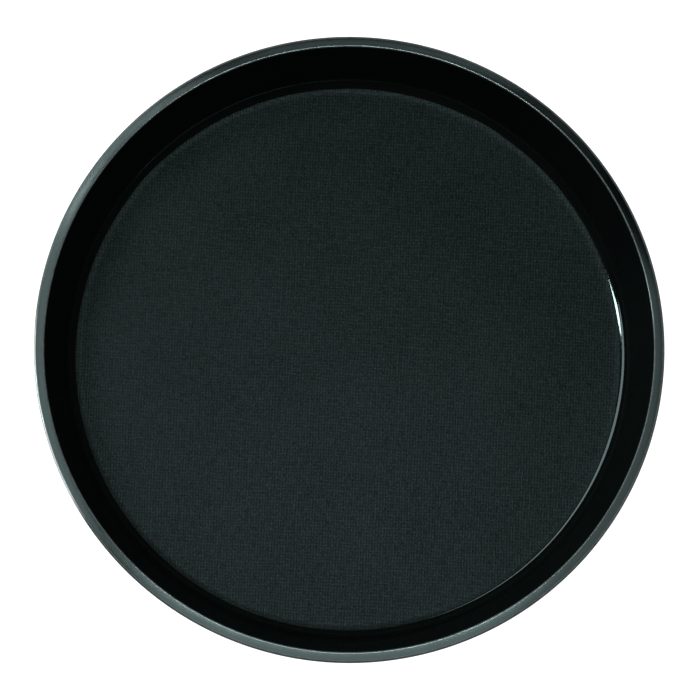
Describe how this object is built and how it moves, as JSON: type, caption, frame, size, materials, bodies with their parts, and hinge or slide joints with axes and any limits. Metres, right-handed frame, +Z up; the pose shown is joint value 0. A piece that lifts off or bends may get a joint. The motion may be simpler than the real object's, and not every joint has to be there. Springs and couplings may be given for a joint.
{
  "type": "serving tray",
  "caption": "Round non-slip serving tray: a black moulded dish with a flat rim, a leaning wall and a woven-textured rubber liner bonded to its floor",
  "frame": {"origin": "centre of the tray on the plane it stands on", "axes": "+Z up, along the tray's axis of symmetry; +X to the right; -Y towards the front"},
  "size_m": [0.3556, 0.3556, 0.031],
  "materials": {
    "moulded_shell": "gloss",
    "rubber_liner": "woven matt",
    "hoop_steel": "plain wire"
  },
  "bodies": {
    "root": {"tray_shell": "moulded_shell", "nonslip_liner": "rubber_liner", "rim_hoop": "hoop_steel"}
  },
  "joints": []
}
